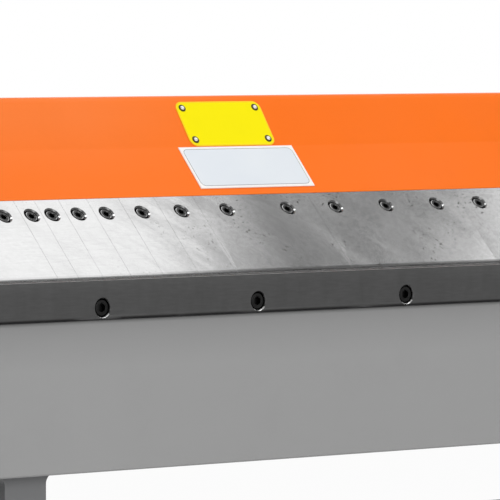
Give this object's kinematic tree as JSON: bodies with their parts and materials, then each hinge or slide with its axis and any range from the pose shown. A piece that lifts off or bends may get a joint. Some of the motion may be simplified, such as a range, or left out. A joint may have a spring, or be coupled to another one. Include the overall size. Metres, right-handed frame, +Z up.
{
  "type": "sheet metal bending machine",
  "caption": "Floor-standing sheet metal folding machine: lifting beam with segmented fingers, hinged folding apron with counterweights and handles, foot pedal, angle stop and back gauge.",
  "frame": {"origin": "centre of the four anchor bolt holes, on the floor", "axes": "+X along the bend line to the operator's right, +Y from the operator to the back, +Z up"},
  "size_m": [1.46, 0.62, 1.2702],
  "materials": {
    "orange_paint": "glossy powder coat",
    "grey_paint": "fine-textured powder coat",
    "dark_paint": "fine-textured powder coat",
    "black_paint": "satin",
    "ground_steel": "surface ground, lightly oiled",
    "blade_steel": "dark, milled and oiled",
    "black_oxide": "black oxide",
    "spring_steel": "oiled",
    "zinc": "zinc plated",
    "chrome": "polished",
    "bronze": "turned",
    "rubber": "ribbed",
    "black_plastic": "moulded",
    "yellow_plate": "enamelled",
    "white_label": "smooth"
  },
  "bodies": {
    "frame": {"stand_left": "grey_paint", "stand_right": "grey_paint", "base_plates": "dark_paint", "rear_tie": "grey_paint", "side_plate_left": "grey_paint", "side_plate_right": "grey_paint", "bed_beam": "grey_paint", "bed_blade": "ground_steel", "bed_blade_screws": "black_oxide", "frame_bolts": "zinc", "hinge_bushes": "bronze", "beam_guides": "ground_steel", "guide_brackets": "dark_paint", "lift_springs": "spring_steel", "angle_scale": "zinc", "gauge_rods": "chrome", "pedal_bearings": "dark_paint"},
    "clamp_beam": {"beam_shell": "orange_paint", "beam_ribs": "orange_paint", "finger_seat": "blade_steel", "finger_01": "ground_steel", "finger_02": "ground_steel", "finger_03": "ground_steel", "finger_04": "ground_steel", "finger_05": "ground_steel", "finger_06": "ground_steel", "finger_07": "ground_steel", "finger_08": "ground_steel", "finger_09": "ground_steel", "finger_10": "ground_steel", "finger_11": "ground_steel", "finger_screws": "black_oxide", "name_plate": "yellow_plate", "plate_rivets": "zinc", "data_label": "white_label", "slide_blocks": "blade_steel", "pull_rods": "zinc"},
    "apron": {"apron_plate": "grey_paint", "apron_rail": "dark_paint", "apron_ribs": "grey_paint", "folding_blade": "blade_steel", "blade_screws": "black_oxide", "apron_cheeks": "grey_paint", "hinge_pins": "ground_steel", "weight_arms": "dark_paint", "counterweights": "black_paint", "handle_bars": "chrome", "grips": "black_plastic", "tie_rod": "zinc", "stop_dog": "blade_steel"},
    "pedal": {"pedal_frame": "black_paint", "pedal_tread": "rubber"},
    "back_gauge": {"gauge_bar": "dark_paint"},
    "gauge_knob_l": {"gauge_knob_left": "black_plastic"},
    "gauge_knob_r": {"gauge_knob_right": "black_plastic"},
    "stop": {"angle_stop": "ground_steel"},
    "stop_clamp": {"stop_knob": "black_plastic"},
    "lift_stop_l": {"lift_screw_left": "black_plastic"},
    "lift_stop_r": {"lift_screw_right": "black_plastic"}
  },
  "joints": [
    {"name": "beam_lift", "type": "slide", "parent": "frame", "child": "clamp_beam", "axis": [0, 0, 1], "range_m": [0, 0.047], "deforming": ["lift_springs"]},
    {"name": "apron_fold", "type": "hinge", "parent": "frame", "child": "apron", "pos_m": [0, -0.15, 0.905], "axis": [-1, 0, 0], "range_deg": [0, 135]},
    {"name": "pedal_swing", "type": "hinge", "parent": "frame", "child": "pedal", "pos_m": [0, 0.19, 0.11], "axis": [-1, 0, 0], "range_deg": [0, 17.5]},
    {"name": "gauge_slide", "type": "slide", "parent": "frame", "child": "back_gauge", "axis": [0, 1, 0], "range_m": [-0.12, 0.12]},
    {"name": "gauge_knob_l_turn", "type": "hinge", "parent": "back_gauge", "child": "gauge_knob_l", "pos_m": [-0.3, 0.168, 0.85], "axis": [0, 0, 1], "continuous": true},
    {"name": "gauge_knob_r_turn", "type": "hinge", "parent": "back_gauge", "child": "gauge_knob_r", "pos_m": [0.3, 0.168, 0.85], "axis": [0, 0, 1], "continuous": true},
    {"name": "stop_set", "type": "hinge", "parent": "frame", "child": "stop", "pos_m": [0, -0.15, 0.905], "axis": [1, 0, 0], "range_deg": [0, 110]},
    {"name": "stop_knob_turn", "type": "hinge", "parent": "stop", "child": "stop_clamp", "pos_m": [0.6, -0.08539, 0.98777], "axis": [1, 0, 0], "continuous": true},
    {"name": "lift_stop_l_turn", "type": "hinge", "parent": "frame", "child": "lift_stop_l", "pos_m": [-0.522, 0.022, 1.15], "axis": [0, 0, 1], "continuous": true},
    {"name": "lift_stop_r_turn", "type": "hinge", "parent": "frame", "child": "lift_stop_r", "pos_m": [0.522, 0.022, 1.15], "axis": [0, 0, 1], "continuous": true}
  ],
  "couplings": [
    {"joint": "pedal_swing", "follows": "beam_lift", "rad_per_m": 6.35}
  ]
}
